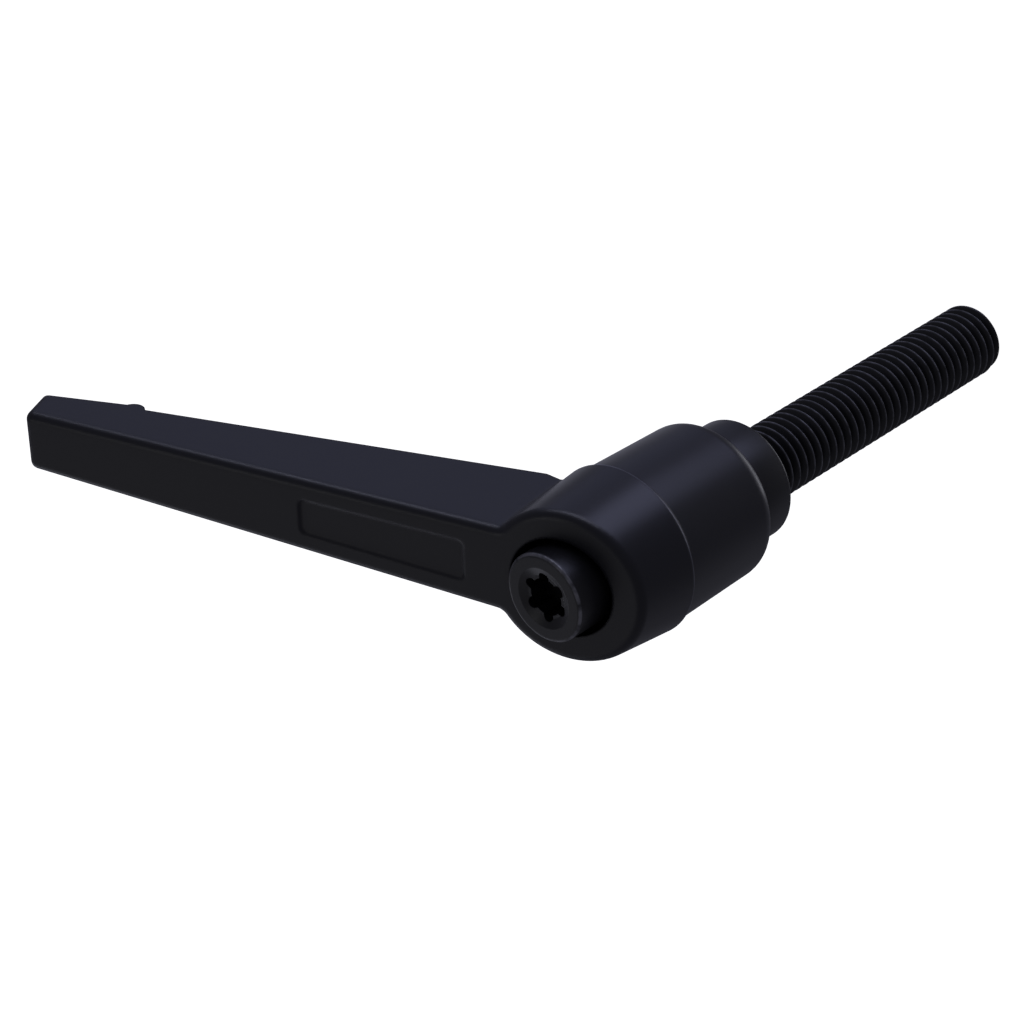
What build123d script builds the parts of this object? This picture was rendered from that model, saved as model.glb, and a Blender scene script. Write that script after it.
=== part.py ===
from build123d import *
import os
from math import cos, sin, tan, radians, pi

# Adjustable clamping lever, thread M10, threaded stud 50 long.
# All sizes in mm. Z runs up the stud's axis towards the screw head, X lies under the arm,
# and the origin is on the axis at the collar face that is clamped against the work.

os.makedirs("parts", exist_ok=True)

# ---- driving dimensions -------------------------------------------------------------------

# threaded stud (one turned and pressed steel piece)
thread_d = 9.85          # crest diameter of an M10 thread, middle of the usual tolerance
thread_len = 50.0
tip_chamfer = 1.1
collar_d = 16.0
collar_h = 6.0
collar_edge = 0.5        # rounded rim of the collar, both ends
tooth_count = 24
tooth_root_r = 5.75
tooth_tip_r = 6.45
tooth_root_share = 0.34  # half width of a tooth at its root, as a share of the pitch angle
tooth_tip_share = 0.16   # the same at its tip
tooth_top_z = 10.6       # teeth stand on the collar and end here
neck_d = 11.0            # plain neck above the teeth
seat_z = 14.2            # top of the stud, where the screw's shoulder seats
tap_runout = 1.0         # the tapped hole goes on below the screw's end

# retaining screw
screw_thread_d = 6.0     # core that sits in the stud
screw_thread_len = 7.0
screw_end_chamfer = 0.5
shoulder_d = 7.6
head_d = 11.5
head_h = 6.55
head_top_z = 36.95
head_edge_r = 0.5        # rounded rim of the head
socket_tip_r = 3.2       # lobe tips of the six-lobe socket
socket_core_r = 2.4      # round core between the lobes
socket_lobe_r = 0.75
socket_turn = 38.0       # degrees from X to the first lobe
socket_depth = 3.6
flare_r = 3.95           # shallow countersink round the socket, down to its lobes
flare_low_r = 2.8
flare_h = 0.5

# lever handle
hub_bottom_z = collar_h
hub_bottom_d = 20.8
hub_waist_d = 21.4       # lower casting half at the parting step
hub_ridge_d = 22.3       # upper casting half at the parting step
hub_ridge_z = 22.7
step_h = 0.35            # height of the small slope between the two halves
hub_draft = 5.5          # degrees, the upper hub narrows towards its top
top_z = 33.9             # height of the sloping top face on the stud's axis
top_slope = 14.3         # degrees, rising towards the arm's tip
under_gap = 1.0          # the underside leaves the parting level this far out from the hub
under_slope = 21.45      # degrees
arm_len = 74.6           # top corner of the tip, from the axis
arm_w_root = 12.4        # width over the sides at the parting level, carried to the axis
arm_w_tip = 9.6          # the same at the tip
arm_draft = 1.2          # degrees, the arm narrows towards its top
web_z = 15.6             # underside of the inner web
web_t = 2.0
counterbore_d = 13.1
top_edge_r = 1.2
hub_foot_r = 2.2
end_lean = 24.0          # degrees, the end face leans out towards its lower edge
tip_corner_r = 1.2
under_edge_r = 0.4       # lower edges of the tip
arm_corner_r = 1.5       # inside corner between hub and arm
bore_over_teeth = 0.25   # plain bore above the inner teeth, larger by this much all round
tooth_engage_gap = 0.2   # the inner teeth end this far below the stud's teeth tops
panel_x0 = 12.5          # recessed blank panel on the arm, from here
panel_x1 = 35.1          # to here
panel_w0 = 5.9           # width at the hub's end
panel_w1 = 5.1           # and at the far end
panel_depth = 0.3
panel_wall = 50.0        # degrees, the panel's walls lean out
panel_corner_r = 1.0
rest_x = 64.0            # rounded finger rest across the underside near the tip
rest_len = 2.4
rest_h = 1.05
rest_drop = 0.9          # just beyond the rest the underside is lower by this much
tip_drop = 0.1           # and by this much at the tip

# return spring
wire_d = 1.0
spring_d = 12.1          # outside diameter
spring_turns = 5.75
coil_gap = 0.10          # daylight between the closed end coils
end_turn = 0.85          # turns in each closed end
ease_turn = 0.3          # the pitch changes over this many turns either side

# named clearances
tooth_gap = 0.10         # radial gap at tooth tips and roots
tooth_flank = 0.7        # degrees of play at each tooth flank
shoulder_gap = 0.10      # web hole on the screw's shoulder, radial

# construction values
cut_over = 2.0           # cutting shapes run past the part by this much
upright = 2.0            # an edge that climbs more than this is an upright corner

up = (Align.CENTER, Align.CENTER, Align.MIN)

# ---- helpers ------------------------------------------------------------------------------


def turned(points):
    """A solid turned about Z from (radius, height) points."""
    face = make_face(Polyline(*[(r, 0, z) for r, z in points], close=True))
    return revolve(face, axis=Axis.Z, revolution_arc=360)


def toothed_prism(root_r, tip_r, spread, z0, z1):
    """Straight-flanked teeth: spread widens each tooth by that many degrees a side."""
    pts = []
    step = 360 / tooth_count
    for i in range(tooth_count):
        for r, share, side in ((root_r, tooth_root_share, -1), (tip_r, tooth_tip_share, -1),
                               (tip_r, tooth_tip_share, 1), (root_r, tooth_root_share, 1)):
            a = radians(i * step + side * (share * step + spread))
            pts.append((r * cos(a), r * sin(a), z0))
    return extrude(make_face(Polyline(*pts, close=True)), amount=z1 - z0, dir=(0, 0, 1))


# ---- threaded stud --------------------------------------------------------------------------

# the shank is plain, at the thread's crest diameter
thread_r = thread_d / 2
shank = turned([(0, -thread_len), (thread_r - tip_chamfer, -thread_len),
                (thread_r, -thread_len + tip_chamfer), (thread_r, 0), (0, 0)])
collar = Cylinder(collar_d / 2, collar_h, align=up)
collar = fillet(collar.edges().filter_by(GeomType.CIRCLE), collar_edge)
teeth = toothed_prism(tooth_root_r, tooth_tip_r, 0, collar_h, tooth_top_z)
neck = Pos(0, 0, collar_h) * Cylinder(neck_d / 2, seat_z - collar_h, align=up)
tapped = Pos(0, 0, seat_z - screw_thread_len - tap_runout) * Cylinder(
    screw_thread_d / 2, screw_thread_len + tap_runout, align=up)
threaded_stud = shank + collar + teeth + neck - tapped

# ---- retaining screw ------------------------------------------------------------------------

head_under_z = head_top_z - head_h
head_r = head_d / 2
screw_end_z = seat_z - screw_thread_len
screw = turned([
    (0, screw_end_z), (screw_thread_d / 2 - screw_end_chamfer, screw_end_z),
    (screw_thread_d / 2, screw_end_z + screw_end_chamfer), (screw_thread_d / 2, seat_z),
    (shoulder_d / 2, seat_z), (shoulder_d / 2, head_under_z), (head_r, head_under_z),
    (head_r, head_top_z), (0, head_top_z)])
rim = screw.edges().filter_by(GeomType.CIRCLE).sort_by(lambda e: (e.center().Z, e.radius))[-1]
screw = fillet(rim, head_edge_r)
# six round lobes about a round core make the driving socket, in a shallow countersink
socket = Cylinder(socket_core_r, socket_depth, align=up)
for i in range(6):
    a = radians(60 * i + socket_turn)
    lobe_at = socket_tip_r - socket_lobe_r
    socket += Pos(lobe_at * cos(a), lobe_at * sin(a), 0) * Cylinder(
        socket_lobe_r, socket_depth, align=up)
flare = Pos(0, 0, head_top_z - flare_h) * Cone(flare_low_r, flare_r, flare_h, align=up)
retaining_screw = screw - Pos(0, 0, head_top_z - socket_depth) * socket - flare

# ---- lever handle ---------------------------------------------------------------------------


def top_at(x):
    return top_z + x * tan(radians(top_slope))


ridge_r = hub_ridge_d / 2
root_x = ridge_r + under_gap
under_t = tan(radians(under_slope))


def under_at(x):
    return hub_ridge_z + (x - root_x) * under_t


# side outline: sloping top and underside, a leaning end face, and near the tip a rounded
# finger rest across the underside with a slightly lower level beyond it
back_x = -(ridge_r + cut_over)
end_drop = (top_at(arm_len) - under_at(arm_len)) * cos(radians(under_slope)) + tip_drop
along = (cos(radians(under_slope)), sin(radians(under_slope)))
away = (sin(radians(under_slope)), -cos(radians(under_slope)))


def under_point(x, drop):
    """A point on the underside above x, lowered square to it by drop."""
    return (x + drop * away[0], 0, under_at(x) + drop * away[1])


end_t = end_drop / cos(radians(end_lean - under_slope))
tip_low = (arm_len + end_t * sin(radians(end_lean)), 0,
           top_at(arm_len) - end_t * cos(radians(end_lean)))
half_rest = rest_len / 2 * along[0]
rest_a = under_point(rest_x - half_rest, 0)
rest_m = under_point(rest_x, rest_h)
rest_b = under_point(rest_x + half_rest, rest_drop)
side = make_face([
    Line((back_x, 0, hub_ridge_z), (root_x, 0, hub_ridge_z)),
    Line((root_x, 0, hub_ridge_z), rest_a), ThreePointArc(rest_a, rest_m, rest_b),
    Line(rest_b, tip_low), Line(tip_low, (arm_len, 0, top_at(arm_len))),
    Line((arm_len, 0, top_at(arm_len)), (back_x, 0, top_at(back_x))),
    Line((back_x, 0, top_at(back_x)), (back_x, 0, hub_ridge_z))])
slab = extrude(side, amount=ridge_r + cut_over, dir=(0, 1, 0), both=True)

# the upper casting half: a round hub and a straight tapering arm, drawn towards the top
rise = top_at(tip_low[0]) - hub_ridge_z + cut_over
arm_end = tip_low[0] + cut_over + rise * tan(radians(arm_draft))
end_w = arm_w_root - (arm_w_root - arm_w_tip) * arm_end / arm_len
arm_plan = Plane.XY.offset(hub_ridge_z) * make_face(Polyline(
    (0, -arm_w_root / 2), (arm_end, -end_w / 2), (arm_end, end_w / 2),
    (0, arm_w_root / 2), close=True))
arm_block = extrude(arm_plan, amount=rise, dir=(0, 0, 1), taper=arm_draft)
hub_rise = top_at(ridge_r) - hub_ridge_z + cut_over
hub_top_r = ridge_r - hub_rise * tan(radians(hub_draft))
hub_block = turned([(0, hub_ridge_z), (ridge_r, hub_ridge_z),
                    (hub_top_r, hub_ridge_z + hub_rise), (0, hub_ridge_z + hub_rise)])
upper_body = (hub_block & slab) + (arm_block & slab)


def upright_corners(body, x0, x1):
    """Edges on the arm's sides between x0 and x1 that climb steeply enough to be its corners."""
    return [e for e in body.edges() if x0 < e.center().X < x1
            and abs(e.center().Y) > arm_w_tip / 4
            and abs(e.vertices()[0].Z - e.vertices()[-1].Z) > upright]


# inside corners between hub and arm, the corners of the tip, then its lower edges
upper_body = fillet(upright_corners(upper_body, ridge_r / 2, root_x + arm_corner_r),
                    arm_corner_r)
upper_body = fillet(upright_corners(upper_body, arm_len, arm_end), tip_corner_r)
low_edges = [e for e in upper_body.edges() if e.center().X > rest_x + rest_len
             and e.center().Z < under_at(e.center().X) + under_edge_r]
upper_body = fillet(low_edges, under_edge_r)

lower_body = turned([(0, hub_bottom_z), (hub_bottom_d / 2, hub_bottom_z),
                     (hub_waist_d / 2, hub_ridge_z - step_h), (ridge_r, hub_ridge_z),
                     (hub_waist_d / 2, hub_ridge_z + step_h), (0, hub_ridge_z + step_h)])
handle = upper_body + lower_body

top_dir = Vector(-sin(radians(top_slope)), 0, cos(radians(top_slope)))
top_face = [f for f in handle.faces() if f.geom_type == GeomType.PLANE
            and f.normal_at().dot(top_dir) > 0.999][0]
handle = fillet(top_face.outer_wire().edges(), top_edge_r)
foot = [e for e in handle.edges().filter_by(GeomType.CIRCLE)
        if abs(e.center().Z - hub_bottom_z) < 1e-3]
handle = fillet(foot, hub_foot_r)

# counterbore for spring and screw head, web hole, plain bore and the inner teeth
web_top = web_z + web_t
clear_up = top_at(ridge_r)
handle -= Pos(0, 0, web_top) * Cylinder(counterbore_d / 2, clear_up - web_top, align=up)
handle -= Pos(0, 0, hub_bottom_z) * Cylinder(
    shoulder_d / 2 + shoulder_gap, web_top - hub_bottom_z + cut_over, align=up)
inner_teeth_top = tooth_top_z - tooth_engage_gap
handle -= Pos(0, 0, inner_teeth_top) * Cylinder(
    tooth_tip_r + bore_over_teeth, web_z - inner_teeth_top, align=up)
handle -= toothed_prism(tooth_root_r + tooth_gap, tooth_tip_r + tooth_gap, tooth_flank,
                        hub_bottom_z - cut_over, inner_teeth_top + bore_over_teeth)

# blank recessed panel, square to the sloping top face
slope_cos = cos(radians(top_slope))
pitch_frame = Plane(origin=(0, 0, top_z), x_dir=(slope_cos, 0, sin(radians(top_slope))),
                    z_dir=top_dir)
s0, s1 = panel_x0 / slope_cos, panel_x1 / slope_cos
panel = make_face(Polyline((s0, -panel_w0 / 2), (s1, -panel_w1 / 2), (s1, panel_w1 / 2),
                           (s0, panel_w0 / 2), close=True))
panel = fillet(panel.vertices(), panel_corner_r)
handle -= extrude(pitch_frame * panel, amount=-panel_depth, taper=panel_wall)
lever_handle = handle

# ---- return spring ----------------------------------------------------------------------

wire_r = wire_d / 2
coil_r = spring_d / 2 - wire_r
z_low, z_high = web_top + wire_r, head_under_z - wire_r
end_rise = end_turn * (wire_d + coil_gap)
body_rise = (z_high - z_low) - 2 * end_rise
points_per_turn = 14


def coil_height(t):
    """Height along the coil at t turns: closed end coils, an even pitch between them."""
    if t < end_turn:
        return z_low + end_rise * t / end_turn
    if t > spring_turns - end_turn:
        return z_high - end_rise * (spring_turns - t) / end_turn
    return z_low + end_rise + body_rise * (t - end_turn) / (spring_turns - 2 * end_turn)


def smooth_height(t):
    """The same, averaged over a short length of wire where the pitch changes."""
    if min(t, spring_turns - t) <= ease_turn:
        return coil_height(t)
    near = [coil_height(t + j * ease_turn / 4) for j in range(-4, 5)]
    return sum(near) / len(near)


path = []
n_points = int(spring_turns * points_per_turn)
for i in range(n_points + 1):
    t = spring_turns * i / n_points
    path.append((coil_r * cos(2 * pi * t), coil_r * sin(2 * pi * t), smooth_height(t)))
coil = Spline(*path)
return_spring = sweep(Plane(origin=coil @ 0, z_dir=coil % 0) * Circle(wire_r), path=coil,
                      is_frenet=True)

# ---- files --------------------------------------------------------------------------------

for name, solid in (("threaded_stud", threaded_stud), ("retaining_screw", retaining_screw),
                    ("lever_handle", lever_handle), ("return_spring", return_spring)):
    solid.label = name
    export_step(solid, "parts/" + name + ".step")
    box = solid.bounding_box()
    print(name, round(solid.volume, 1), len(solid.solids()), solid.is_valid,
          [round(v, 2) for v in (*box.min, *box.max)])
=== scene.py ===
import bpy
import bmesh
from math import cos, sin, tan, pi, radians
from mathutils import Matrix, Vector


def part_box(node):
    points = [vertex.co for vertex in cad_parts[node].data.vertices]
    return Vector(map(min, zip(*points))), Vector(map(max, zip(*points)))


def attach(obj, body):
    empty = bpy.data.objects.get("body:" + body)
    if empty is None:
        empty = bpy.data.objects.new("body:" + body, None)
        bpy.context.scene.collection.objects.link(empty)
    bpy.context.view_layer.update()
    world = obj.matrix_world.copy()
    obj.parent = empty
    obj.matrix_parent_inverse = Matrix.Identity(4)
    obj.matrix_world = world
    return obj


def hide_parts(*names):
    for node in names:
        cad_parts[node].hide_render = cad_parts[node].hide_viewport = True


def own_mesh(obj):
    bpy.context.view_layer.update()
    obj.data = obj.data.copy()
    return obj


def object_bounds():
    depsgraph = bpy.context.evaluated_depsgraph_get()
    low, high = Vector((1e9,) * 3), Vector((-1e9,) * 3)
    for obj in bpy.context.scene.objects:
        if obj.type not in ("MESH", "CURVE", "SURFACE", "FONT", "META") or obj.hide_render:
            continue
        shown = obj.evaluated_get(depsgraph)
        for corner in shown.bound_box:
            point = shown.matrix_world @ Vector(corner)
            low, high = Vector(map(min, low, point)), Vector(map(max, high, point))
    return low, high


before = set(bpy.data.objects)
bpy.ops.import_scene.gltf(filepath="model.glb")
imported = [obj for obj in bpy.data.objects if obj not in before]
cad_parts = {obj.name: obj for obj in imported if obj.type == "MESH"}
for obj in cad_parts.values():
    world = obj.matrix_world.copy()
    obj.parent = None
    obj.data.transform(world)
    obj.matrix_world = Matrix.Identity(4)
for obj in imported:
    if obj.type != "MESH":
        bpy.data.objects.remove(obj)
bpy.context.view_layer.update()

# ---- lever handle ---------------------------------------------------------------------------
# The lever is die cast in zinc: a round hub with a long tapering arm, its two halves meeting at
# the ridge round the hub. It is blasted and coated in satin black powder, so its edges are soft.

MM = 0.001
POWDER_BLACK = "#121217"
POWDER_BLACK_THIN = "#17171d"
POWDER_GRAIN_MM = 0.30       # melted powder grains, drawn a little coarse so that they show
FLOW_WAVE_MM = 2.6           # the slow waves that the melt levels out to
CLOUD_MM = 14.0              # broad, barely seen change in the coat's thickness
RIDGE_Z = 22.7               # the two casting halves meet here
RIDGE_OUTSIDE_R = 11.4       # just outside the hub
RIDGE_CORE, RIDGE_EDGE = 0.05, 0.20      # the painted highlight line fades out between these distances
RIDGE_PATCH_MM, RIDGE_PATCHES = 4.0, (0.2, 0.6)      # the painted highlight comes in between these values
RIDGE_HIGHLIGHT_GREY = "#6a6a74"     # painted highlight: the ridge's edge drawn as a lighter grey line
COAT_EDGE_MM = 0.5           # the melt rounds every edge and fills every corner by about this
WAVE_BUMP_MM, WAVE_STRENGTH = 0.02, 0.12
GRAIN_BUMP_MM, GRAIN_STRENGTH = 0.01, 0.25


def linear(hex_colour):
    """An sRGB hex colour as the linear red, green, blue and alpha that a shader takes."""
    parts = [int(hex_colour[i:i + 2], 16) / 255 for i in (1, 3, 5)]
    return [c / 12.92 if c <= 0.04045 else ((c + 0.055) / 1.055) ** 2.4 for c in parts] + [1.0]


def add_node(tree, kind, settings=None, inputs=None, links=None):
    """Adds one node: settings are its properties, inputs are fixed sockets, links are wired."""
    made = tree.nodes.new(kind)
    for key, value in (settings or {}).items():
        setattr(made, key, value)
    for key, value in (inputs or {}).items():
        made.inputs[key].default_value = value
    for key, source in (links or {}).items():
        tree.links.new(source, made.inputs[key])
    return made


def new_finish(name):
    """An empty material with its output, its shader and the piece's own coordinates in metres."""
    finish = bpy.data.materials.new(name)
    finish.use_nodes = True
    tree = finish.node_tree
    tree.nodes.clear()
    shader = add_node(tree, "ShaderNodeBsdfPrincipled")
    add_node(tree, "ShaderNodeOutputMaterial", links={"Surface": shader.outputs[0]})
    place = add_node(tree, "ShaderNodeTexCoord").outputs["Object"]
    return finish, tree, shader, place


def set_shader(shader, **values):
    """Sets the shader's inputs, their names written with underscores for spaces."""
    for key, value in values.items():
        shader.inputs[key.replace("_", " ")].default_value = value


def axis_distance(tree, place):
    """Distance from the stud's axis and height along it, both in metres."""
    parts = add_node(tree, "ShaderNodeSeparateXYZ", links={"Vector": place})
    flat = add_node(tree, "ShaderNodeCombineXYZ",
                    links={"X": parts.outputs["X"], "Y": parts.outputs["Y"]})
    length = add_node(tree, "ShaderNodeVectorMath", {"operation": "LENGTH"},
                      links={0: flat.outputs[0]})
    return length.outputs["Value"], parts.outputs["Z"]


# Powder coat, cured: satin and very even, with a fine melted grain and faint slow waves.
powder_coat, tree, shader, place = new_finish("powder_coat_satin_black")
set_shader(shader, Roughness=0.36, IOR=1.5)
clouds = add_node(tree, "ShaderNodeTexNoise", None, {"Scale": 1 / (CLOUD_MM * MM), "Detail": 1.0},
                  {"Vector": place})
tone = add_node(tree, "ShaderNodeMix", {"data_type": "RGBA"},
                {"A": linear(POWDER_BLACK), "B": linear(POWDER_BLACK_THIN)},
                {"Factor": clouds.outputs["Fac"]})
from_axis, height = axis_distance(tree, place)
# Painted highlight: a lighter grey is painted in patches along the ridge round the hub, where its
# edge catches the light.
off_ridge = add_node(tree, "ShaderNodeMath", {"operation": "SUBTRACT"}, {1: RIDGE_Z * MM},
                     {0: height})
ridge_gap = add_node(tree, "ShaderNodeMath", {"operation": "ABSOLUTE"}, None,
                     {0: off_ridge.outputs[0]})
on_ridge = add_node(tree, "ShaderNodeMapRange", {"interpolation_type": "SMOOTHSTEP"},
                    {"From Min": RIDGE_EDGE * MM, "From Max": RIDGE_CORE * MM},
                    {"Value": ridge_gap.outputs[0]})
on_hub = add_node(tree, "ShaderNodeMath", {"operation": "LESS_THAN"},
                  {1: RIDGE_OUTSIDE_R * MM}, {0: from_axis})
ridge_noise = add_node(tree, "ShaderNodeTexNoise", None,
                       {"Scale": 1 / (RIDGE_PATCH_MM * MM), "Detail": 1.0}, {"Vector": place})
ridge_patches = add_node(tree, "ShaderNodeMapRange", None,
                         {"From Min": RIDGE_PATCHES[0], "From Max": RIDGE_PATCHES[1]},
                         {"Value": ridge_noise.outputs["Fac"]})
ridge_line_mask = add_node(tree, "ShaderNodeMath", {"operation": "MULTIPLY"}, None,
                      {0: on_ridge.outputs[0], 1: on_hub.outputs[0]})
painted_ridge_highlight = add_node(tree, "ShaderNodeMath", {"operation": "MULTIPLY"}, None,
                      {0: ridge_line_mask.outputs[0], 1: ridge_patches.outputs[0]})
coat_tone = add_node(tree, "ShaderNodeMix", {"data_type": "RGBA"}, {"B": linear(RIDGE_HIGHLIGHT_GREY)},
                     {"Factor": painted_ridge_highlight.outputs[0], "A": tone.outputs["Result"]})
tree.links.new(coat_tone.outputs["Result"], shader.inputs["Base Color"])
grain = add_node(tree, "ShaderNodeTexNoise", None,
                 {"Scale": 1 / (POWDER_GRAIN_MM * MM), "Detail": 1.0}, {"Vector": place})
waves = add_node(tree, "ShaderNodeTexNoise", None,
                 {"Scale": 1 / (FLOW_WAVE_MM * MM), "Detail": 0.0}, {"Vector": place})
soft_edge = add_node(tree, "ShaderNodeBevel", {"samples": 6}, {"Radius": COAT_EDGE_MM * MM})
wave_bump = add_node(tree, "ShaderNodeBump", None,
                     {"Strength": WAVE_STRENGTH, "Distance": WAVE_BUMP_MM * MM},
                     {"Height": waves.outputs["Fac"], "Normal": soft_edge.outputs["Normal"]})
grain_bump = add_node(tree, "ShaderNodeBump", None,
                      {"Strength": GRAIN_STRENGTH, "Distance": GRAIN_BUMP_MM * MM},
                      {"Height": grain.outputs["Fac"], "Normal": wave_bump.outputs["Normal"]})
tree.links.new(grain_bump.outputs["Normal"], shader.inputs["Normal"])


def dress(cad_object, finish):
    """Gives a CAD node its finish without touching its mesh."""
    cad_object.data.materials.clear()
    cad_object.data.materials.append(finish)


dress(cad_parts["lever_handle"], powder_coat)

# ---- threaded stud --------------------------------------------------------------------------
# The stud is turned from one steel bar: thread rolled up to the collar, collar, toothed head,
# neck, and a tapped hole for the screw. It is blackened in hot oxide and lightly oiled.

stud_low, stud_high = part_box("threaded_stud")
TIP_Z, TOP_Z, COLLAR_R = stud_low.z / MM, stud_high.z / MM, stud_high.x / MM
PITCH = 1.5
CREST_R = 4.925
ROOT_R = 4.08
CREST_FLAT = PITCH / 8
FLANK_RUN = (CREST_R - ROOT_R) * tan(radians(30))
ROOT_SAG = 0.05              # the rolled root is hollowed by this much
CREST_ROUND = 0.03           # the crest's corners are rolled down by this much
LEVEL_FROM, LEVEL_TO = 0.18, 0.82        # and it is level between these shares of its width
TIP_CHAMFER = 1.1
RUNOUT = 0.45                # the last of the thread fades over this height at the collar
RUNOUT_RISE = 0.25           # and ends this far above its root
COLLAR_H, COLLAR_EDGE = 6.0, 0.5
COLLAR_EDGE_STEPS = 6
SEAT_INNER_R = 5.4           # the collar's seat is flat from here out
TEETH = 24
TOOTH_PITCH = 360 / TEETH    # degrees
TOOTH_ROOT_R, TOOTH_TIP_R, TOOTH_TOP_Z = 5.75, 6.45, 10.6
TOOTH_ROOT_HALF, TOOTH_TIP_HALF = 5.1, 2.4           # degrees, half widths of a tooth
NECK_R = 5.5
HOLE_R, HOLE_DEPTH, HOLE_LEAD, DRILL_POINT = 3.0, 8.0, 0.4, 1.4
ARRIS = 0.15                 # small broken edges left by turning
AXIS_R = 0.02                # columns end this near the axis, which closes the tip and the hole
MERGE_MM, SLIVER_MM = 0.002, 0.001
SHARP_FROM = 28              # degrees, edges that turn less than this are shaded smooth

# Degrees from a tooth's middle, and how far up the tooth's flank the stud's radius is there.
FLANK_MIDDLE = (TOOTH_ROOT_HALF + TOOTH_TIP_HALF) / 2
TOOTH_COLUMNS = [(-TOOTH_PITCH / 2, 0.0), (-TOOTH_ROOT_HALF, 0.0), (-FLANK_MIDDLE, 0.5),
                 (-TOOTH_TIP_HALF, 1.0), (0.0, 1.0), (TOOTH_TIP_HALF, 1.0),
                 (FLANK_MIDDLE, 0.5), (TOOTH_ROOT_HALF, 0.0)]


def thread_points():
    """(height in the turn, radius) up one turn's profile: crest, flank, hollow root, flank."""
    a, b = CREST_FLAT, CREST_FLAT + FLANK_RUN
    c = PITCH - FLANK_RUN
    return [(0.0, CREST_R - CREST_ROUND), (LEVEL_FROM * a, CREST_R), (LEVEL_TO * a, CREST_R),
            (a, CREST_R - CREST_ROUND),
            ((a + b) / 2, (CREST_R + ROOT_R) / 2), (b, ROOT_R),
            ((b + c) / 2, ROOT_R - ROOT_SAG), (c, ROOT_R),
            ((c + PITCH) / 2, (CREST_R + ROOT_R) / 2)]


def thread_radius(z, above_start):
    """Radius on the thread at height z, which is above_start over where its first turn starts."""
    points = thread_points() + [(PITCH, CREST_R - CREST_ROUND)]
    h = above_start % PITCH
    for (h0, r0), (h1, r1) in zip(points, points[1:]):
        if h0 <= h <= h1:
            r = r0 + (r1 - r0) * (h - h0) / (h1 - h0)
            break
    chamfer = CREST_R - TIP_CHAMFER + (z - TIP_Z)
    fade = max(0.0, 1 + z / RUNOUT) if z > -RUNOUT else 0.0
    return min(r + (ROOT_R + RUNOUT_RISE - r) * fade, chamfer)


def stud_mesh():
    """The stud as columns of points from the tip's centre, up the outside, to the hole's floor."""
    columns = [(radians(TOOTH_PITCH * k + offset), flank)
               for k in range(TEETH) for offset, flank in TOOTH_COLUMNS]
    columns.append((columns[0][0] + 2 * pi, columns[0][1]))
    turns = int(-TIP_Z / PITCH) + 3
    heights = [TIP_Z + PITCH * (turn - 1) + up
               for turn in range(turns) for up, r in thread_points()]
    edge = [(COLLAR_R - COLLAR_EDGE + COLLAR_EDGE * sin(a), COLLAR_EDGE * (1 - cos(a)))
            for a in (pi / 2 * k / COLLAR_EDGE_STEPS for k in range(COLLAR_EDGE_STEPS + 1))]
    collar = [(SEAT_INNER_R, 0.0)] + edge + [(r, COLLAR_H - z) for r, z in reversed(edge)]
    top = [(NECK_R, TOP_Z - ARRIS), (NECK_R - ARRIS, TOP_Z), (HOLE_R + HOLE_LEAD, TOP_Z),
           (HOLE_R, TOP_Z - HOLE_LEAD), (HOLE_R, TOP_Z - HOLE_DEPTH),
           (AXIS_R, TOP_Z - HOLE_DEPTH - DRILL_POINT)]
    bm = bmesh.new()
    grid = []
    for angle, flank in columns:
        climb = PITCH * (angle - columns[0][0]) / (2 * pi)
        points = [(AXIS_R, TIP_Z)]
        for height in heights:
            z = min(max(height + climb, TIP_Z), 0.0)
            points.append((thread_radius(z, z - TIP_Z - climb), z))
        tooth_r = TOOTH_ROOT_R + (TOOTH_TIP_R - TOOTH_ROOT_R) * flank
        points += collar
        points += [(tooth_r, COLLAR_H), (tooth_r, TOOTH_TOP_Z - ARRIS),
                   (tooth_r - ARRIS, TOOTH_TOP_Z), (NECK_R, TOOTH_TOP_Z)]
        points += top
        grid.append([bm.verts.new((r * MM * cos(angle), r * MM * sin(angle), z * MM))
                     for r, z in points])
    for left, right in zip(grid, grid[1:]):
        for j in range(len(left) - 1):
            bm.faces.new((left[j], right[j], right[j + 1], left[j + 1]))
    bmesh.ops.remove_doubles(bm, verts=bm.verts, dist=MERGE_MM * MM)
    bmesh.ops.dissolve_degenerate(bm, dist=SLIVER_MM * MM, edges=bm.edges)
    bmesh.ops.recalc_face_normals(bm, faces=bm.faces)
    mesh = bpy.data.meshes.new("stud_turned")
    bm.to_mesh(mesh)
    bm.free()
    mesh.shade_smooth()
    mesh.set_sharp_from_angle(angle=radians(SHARP_FROM))
    return mesh


stud = bpy.data.objects.new("stud_turned", stud_mesh())
bpy.context.scene.collection.objects.link(stud)
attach(stud, "stud")
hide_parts("threaded_stud")

# Hot black oxide on turned and rolled steel: near black, with a lighter grey painted on the
# thread's crests in patches as a painted highlight, and a low oily sheen.
OXIDE_BLACK, CREST_HIGHLIGHT_GREY = "#0a0a0c", "#5b5b60"
CREST_LIGHT_FROM, CREST_LIGHT_FULL = CREST_R - 0.16, CREST_R - 0.01
CREST_LIGHT_TOP_Z = -0.02         # only the thread gets the painted highlight, not the collar and head above it
CREST_LIGHT_PATCH_MM, CREST_LIGHT_PATCHES = 1.2, (0.25, 0.65)
oxide, tree, shader, place = new_finish("black_oxide_on_turned_steel")
set_shader(shader, Roughness=0.38)
from_axis, height = axis_distance(tree, place)
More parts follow.
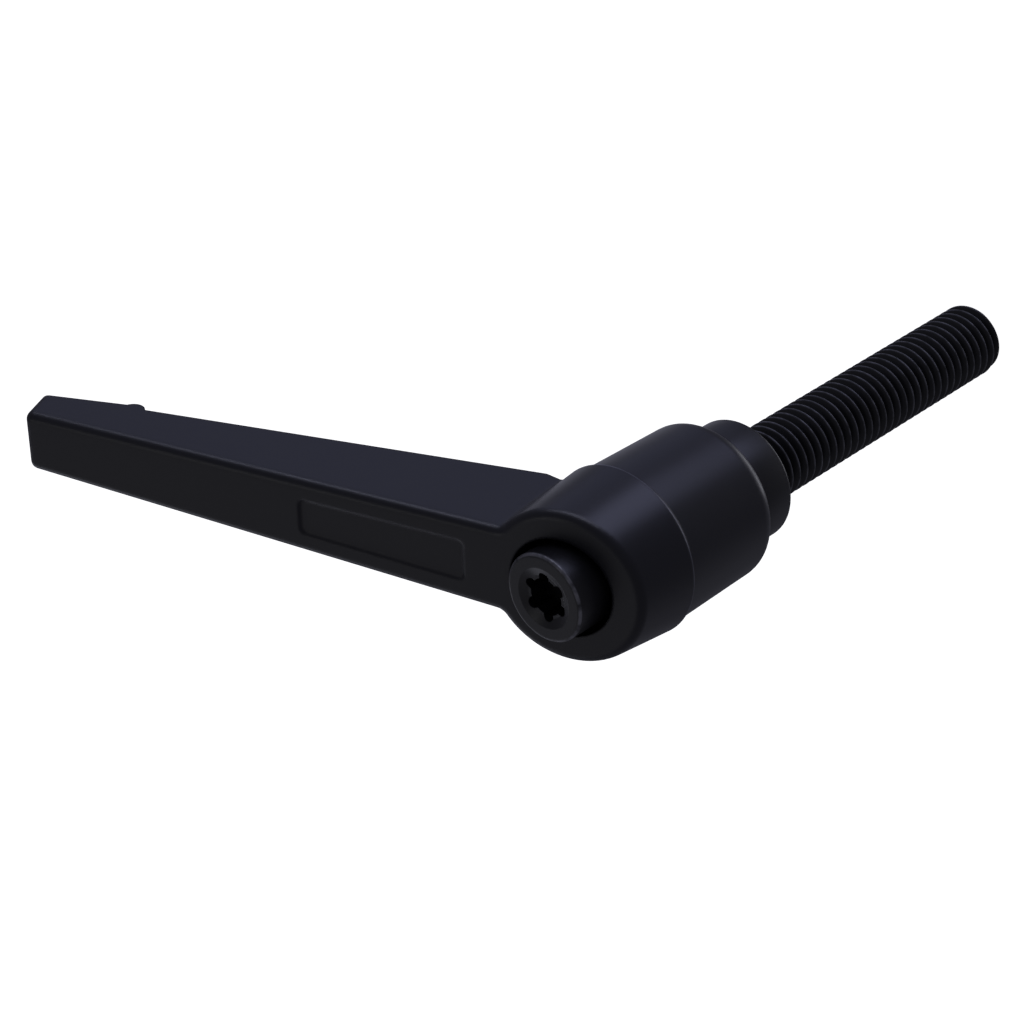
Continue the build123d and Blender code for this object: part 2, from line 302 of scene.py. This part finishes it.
# Painted highlight: the crests are painted lighter grey in patches.
crest_light_band = add_node(tree, "ShaderNodeMapRange", {"interpolation_type": "SMOOTHSTEP"},
                  {"From Min": CREST_LIGHT_FROM * MM, "From Max": CREST_LIGHT_FULL * MM},
                  {"Value": from_axis})
on_thread = add_node(tree, "ShaderNodeMath", {"operation": "LESS_THAN"},
                     {1: CREST_LIGHT_TOP_Z * MM}, {0: height})
patchy = add_node(tree, "ShaderNodeTexNoise", None,
                  {"Scale": 1 / (CREST_LIGHT_PATCH_MM * MM), "Detail": 3.0}, {"Vector": place})
patches = add_node(tree, "ShaderNodeMapRange", None,
                   {"From Min": CREST_LIGHT_PATCHES[0], "From Max": CREST_LIGHT_PATCHES[1]},
                   {"Value": patchy.outputs["Fac"]})
crest_light_mask = add_node(tree, "ShaderNodeMath", {"operation": "MULTIPLY"}, None,
                {0: crest_light_band.outputs[0], 1: on_thread.outputs[0]})
crest_highlight_factor = add_node(tree, "ShaderNodeMath", {"operation": "MULTIPLY"}, None,
                {0: crest_light_mask.outputs[0], 1: patches.outputs[0]})
tone = add_node(tree, "ShaderNodeMix", {"data_type": "RGBA"},
                {"A": linear(OXIDE_BLACK), "B": linear(CREST_HIGHLIGHT_GREY)},
                {"Factor": crest_highlight_factor.outputs[0]})
tree.links.new(tone.outputs["Result"], shader.inputs["Base Color"])
stud.data.materials.append(oxide)

# ---- retaining screw ------------------------------------------------------------------------
# A shouldered steel screw holds the handle and spring on the stud. Its low round head is driven
# by a six-lobe socket; it is blackened, and a thin bright line is painted on the rim as a painted
# highlight.

SCREW_HEAD_R, RIM_ROUND = 5.75, 0.5
SCREW_BLACK, SCREW_BLACK_THIN, RIM_HIGHLIGHT_GREY = "#09090b", "#121215", "#8a8a8e"
RIM_LIGHT_INNER, RIM_LIGHT_INNER_FULL = 0.8, 0.35    # in rim roundings, in from the head's outside
RIM_LIGHT_LOWER, RIM_LIGHT_LOWER_FULL = 0.9, 0.5     # in rim roundings, down from the head's top
MOTTLE_MM = 0.8
RIM_LIGHT_PATCH_MM, RIM_LIGHT_PATCHES = 1.6, (0.3, 0.6)
SCREW_ARRIS_MM = 0.12        # tumbling leaves the other edges broken by about this
head_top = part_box("retaining_screw")[1].z

# Black oxide, a little thin and mottled on the flat of the head, with a painted highlight of
# bright metallic steel where the rim turns over.
screw_black, tree, shader, place = new_finish("black_oxide_painted_rim_highlight")
set_shader(shader, Roughness=0.36)
from_axis, height = axis_distance(tree, place)
mottle = add_node(tree, "ShaderNodeTexNoise", None,
                  {"Scale": 1 / (MOTTLE_MM * MM), "Detail": 3.0}, {"Vector": place})
tone = add_node(tree, "ShaderNodeMix", {"data_type": "RGBA"},
                {"A": linear(SCREW_BLACK), "B": linear(SCREW_BLACK_THIN)},
                {"Factor": mottle.outputs["Fac"]})
# Painted highlight: these masks paint the rim's rounding bright and metallic, in patches.
outer = add_node(tree, "ShaderNodeMapRange", {"interpolation_type": "SMOOTHSTEP"},
                 {"From Min": (SCREW_HEAD_R - RIM_LIGHT_INNER * RIM_ROUND) * MM,
                  "From Max": (SCREW_HEAD_R - RIM_LIGHT_INNER_FULL * RIM_ROUND) * MM},
                 {"Value": from_axis})
upper = add_node(tree, "ShaderNodeMapRange", {"interpolation_type": "SMOOTHSTEP"},
                 {"From Min": head_top - RIM_LIGHT_LOWER * RIM_ROUND * MM,
                  "From Max": head_top - RIM_LIGHT_LOWER_FULL * RIM_ROUND * MM},
                 {"Value": height})
rim_light_noise = add_node(tree, "ShaderNodeTexNoise", None,
                     {"Scale": 1 / (RIM_LIGHT_PATCH_MM * MM), "Detail": 2.0}, {"Vector": place})
rim_light_patches = add_node(tree, "ShaderNodeMapRange", None,
                       {"From Min": RIM_LIGHT_PATCHES[0], "From Max": RIM_LIGHT_PATCHES[1]},
                       {"Value": rim_light_noise.outputs["Fac"]})
rim = add_node(tree, "ShaderNodeMath", {"operation": "MULTIPLY"}, None,
               {0: outer.outputs[0], 1: upper.outputs[0]})
rim_highlight_factor = add_node(tree, "ShaderNodeMath", {"operation": "MULTIPLY"}, None,
                    {0: rim.outputs[0], 1: rim_light_patches.outputs[0]})
rim_tone = add_node(tree, "ShaderNodeMix", {"data_type": "RGBA"}, {"B": linear(RIM_HIGHLIGHT_GREY)},
                    {"Factor": rim_highlight_factor.outputs[0], "A": tone.outputs["Result"]})
tree.links.new(rim_tone.outputs["Result"], shader.inputs["Base Color"])
tree.links.new(rim_highlight_factor.outputs[0], shader.inputs["Metallic"])
screw_edge = add_node(tree, "ShaderNodeBevel", {"samples": 4}, {"Radius": SCREW_ARRIS_MM * MM})
tree.links.new(screw_edge.outputs["Normal"], shader.inputs["Normal"])
dress(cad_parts["retaining_screw"], screw_black)

# ---- return spring --------------------------------------------------------------------------
# A coil of hard-drawn round wire, closed at both ends, pushes the handle down on its teeth.
# It is left bright from the die, with a film of oil.

spring_low, spring_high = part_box("return_spring")
WIRE_R = 0.5
COIL_R = spring_high.x / MM - WIRE_R
SPRING_TURNS, CLOSED_TURNS = 5.75, 0.85
EASE_TURNS, EASE_STEPS = 0.3, 4          # the pitch changes over this length of wire
COIL_GAP = 0.10              # the closed turns lie this near each other
CLOSED_RISE = CLOSED_TURNS * (2 * WIRE_R + COIL_GAP)
STEPS_PER_TURN, WIRE_SIDES = 28, 12
CUT_SHARP_FROM = 50          # degrees, which leaves the cut ends sharp and the wire smooth


def coil_height(t):
    """Height of the wire's middle at t turns: closed end turns and an even pitch between them."""
    first, last = spring_low.z / MM + WIRE_R, spring_high.z / MM - WIRE_R
    if t < CLOSED_TURNS:
        return first + CLOSED_RISE * t / CLOSED_TURNS
    if t > SPRING_TURNS - CLOSED_TURNS:
        return last - CLOSED_RISE * (SPRING_TURNS - t) / CLOSED_TURNS
    return first + CLOSED_RISE + (last - first - 2 * CLOSED_RISE) * (
        (t - CLOSED_TURNS) / (SPRING_TURNS - 2 * CLOSED_TURNS))


def eased_height(t):
    """The same, averaged over a short length of wire so that the pitch changes gently."""
    if min(t, SPRING_TURNS - t) <= EASE_TURNS:
        return coil_height(t)
    near = range(-EASE_STEPS, EASE_STEPS + 1)
    return sum(coil_height(t + j * EASE_TURNS / EASE_STEPS) for j in near) / len(near)


def coil_mesh():
    """Round wire swept along the coil, with plain cut ends."""
    bm = bmesh.new()
    steps = int(SPRING_TURNS * STEPS_PER_TURN)
    middle = []
    for i in range(steps + 1):
        t = SPRING_TURNS * i / steps
        a = 2 * pi * t
        middle.append(Vector((COIL_R * cos(a), COIL_R * sin(a), eased_height(t))))
    rings = []
    for i, point in enumerate(middle):
        along = (middle[min(i + 1, steps)] - middle[max(i - 1, 0)]).normalized()
        outward = Vector((point.x, point.y, 0)).normalized()
        across = along.cross(outward).normalized()
        rings.append([bm.verts.new((point + WIRE_R * (cos(b) * outward + sin(b) * across)) * MM)
                      for b in (2 * pi * k / WIRE_SIDES for k in range(WIRE_SIDES))])
    for one, other in zip(rings, rings[1:]):
        for k in range(WIRE_SIDES):
            n = (k + 1) % WIRE_SIDES
            bm.faces.new((one[k], other[k], other[n], one[n]))
    bm.faces.new(rings[0])
    bm.faces.new(rings[-1])
    bmesh.ops.recalc_face_normals(bm, faces=bm.faces)
    mesh = bpy.data.meshes.new("coil_spring")
    bm.to_mesh(mesh)
    bm.free()
    mesh.shade_smooth()
    mesh.set_sharp_from_angle(angle=radians(CUT_SHARP_FROM))
    return mesh


# Lifting the handle presses the coil against the screw's head, which stays where it is.
spring = bpy.data.objects.new("coil_spring", coil_mesh())
bpy.context.scene.collection.objects.link(spring)
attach(spring, "spring")
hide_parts("return_spring")
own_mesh(spring)

# Bare drawn wire, grey with faint fine scuffs and a low metallic shine.
WIRE_DARK, WIRE_LIGHT = "#4c4c4e", "#77777a"
SCUFF_MM = 0.5
drawn_wire, tree, shader, place = new_finish("drawn_spring_wire")
set_shader(shader, Roughness=0.3, Metallic=1.0)
scuff = add_node(tree, "ShaderNodeTexNoise", None,
                 {"Scale": 1 / (SCUFF_MM * MM), "Detail": 2.0}, {"Vector": place})
tone = add_node(tree, "ShaderNodeMix", {"data_type": "RGBA"},
                {"A": linear(WIRE_DARK), "B": linear(WIRE_LIGHT)}, {"Factor": scuff.outputs["Fac"]})
tree.links.new(tone.outputs["Result"], shader.inputs["Base Color"])
spring.data.materials.append(drawn_wire)

# ---- floor, light and camera ----------------------------------------------------------------
# A plain white floor under the stud's tip. The lever is black and satin, so it is lit by a few
# large soft lights round it, and the floor is kept out of its reflections.

FLOOR_HALF = 4.0             # metres, so that its edge is never near the lever
FLOOR_GAP = 0.2              # below the stud's tip
LAMP_DISTANCE = 0.7          # metres from the lever's middle to each lamp
AROUND = (0.11, 0.11, 0.135, 1)          # faint cool light from everywhere else
scene = bpy.context.scene
scene.view_settings.view_transform = "Standard"
low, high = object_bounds()
centre = (low + high) / 2

floor_mesh = bpy.data.meshes.new("floor")
floor_z = low.z - FLOOR_GAP * MM
floor_mesh.from_pydata([(x * FLOOR_HALF, y * FLOOR_HALF, floor_z)
                        for x, y in ((-1, -1), (1, -1), (1, 1), (-1, 1))], [], [(0, 1, 2, 3)])
floor = bpy.data.objects.new("floor", floor_mesh)
scene.collection.objects.link(floor)
floor.visible_glossy = False
floor.visible_diffuse = False
floor.visible_shadow = False

# Matt white paper that glows evenly, so that it shows neither grain nor a shadow's edge.
floor_white, tree, shader, place = new_finish("matt_white_paper")
set_shader(shader, Base_Color=(0.8, 0.8, 0.8, 1), Roughness=1.0, Specular_IOR_Level=0.0,
           Emission_Color=(1, 1, 1, 1), Emission_Strength=1.0)
floor_mesh.materials.append(floor_white)

world = bpy.data.worlds.new("studio")
scene.world = world
world.use_nodes = True
tree = world.node_tree
tree.nodes.clear()
seen = add_node(tree, "ShaderNodeLightPath")
around = add_node(tree, "ShaderNodeBackground", None, {"Color": AROUND})
behind = add_node(tree, "ShaderNodeBackground", None, {"Color": (1, 1, 1, 1)})
either = add_node(tree, "ShaderNodeMixShader", None, None,
                  {0: seen.outputs["Is Camera Ray"], 1: around.outputs[0], 2: behind.outputs[0]})
add_node(tree, "ShaderNodeOutputWorld", links={"Surface": either.outputs[0]})


def softbox(name, towards, radiance, width, height, colour):
    """A flat lamp in direction towards from the lever, facing it, width and height in metres."""
    light = bpy.data.lights.new(name, "AREA")
    light.shape = "RECTANGLE"
    light.size, light.size_y = width, height
    light.energy = radiance * pi * width * height
    light.color = linear(colour)[:3]
    lamp = bpy.data.objects.new(name, light)
    scene.collection.objects.link(lamp)
    aim = Vector(towards).normalized()
    lamp.location = centre + aim * LAMP_DISTANCE
    lamp.rotation_mode = "QUATERNION"
    lamp.rotation_quaternion = aim.to_track_quat("Z", "Y")
    lamp.visible_camera = False


# The key and the narrow strip light the arm's -Y side and give the coat its cool sheen. The
# lamp under the lever lights what faces down, and the one over the head the screw's top. The
# rest are weak fills that part the black shapes from each other.
softbox("key", (-0.14, -0.86, -0.41), 1.75, 0.42, 0.42, "#cfd3ff")
softbox("key strip", (0.22, -0.97, 0.02), 5.0, 0.72, 0.09, "#dfe2ff")
softbox("far side", (0.60, -0.60, -0.48), 0.28, 0.48, 0.48, "#c4ccff")
softbox("behind", (0.72, 0.18, -0.66), 0.30, 0.36, 0.36, "#e6e8ff")
softbox("below", (-0.49, 0.57, -0.66), 0.06, 0.42, 0.42, "#e6e8ff")
softbox("far end", (0.55, 0.72, 0.30), 0.65, 0.45, 0.28, "#eef0ff")
softbox("under", (-0.12, -0.08, -0.99), 1.5, 0.38, 0.38, "#f2f3ff")
softbox("front", (0.18, 0.50, 0.85), 0.12, 0.5, 0.5, "#ffffff")
softbox("over head", (0.25, 0.0, 0.97), 1.2, 0.14, 0.14, "#ffffff")

# The camera looks down on the screw's head, from the -X and -Y side: the arm runs away to the
# left and the thread to the right.
camera = bpy.data.cameras.new("camera")
camera.lens = 105.47
camera.sensor_width = 36.0
camera.clip_start, camera.clip_end = 0.01, 20
eye = bpy.data.objects.new("camera", camera)
scene.collection.objects.link(eye)
scene.camera = eye
eye.matrix_world = Matrix((
    (-0.73781857, 0.34013814, -0.58303499, -0.19821535),
    (0.01348846, -0.85615473, -0.51654346, -0.18978956),
    (-0.67486430, -0.38897960, 0.62709892, 0.25527779),
    (0, 0, 0, 1)))
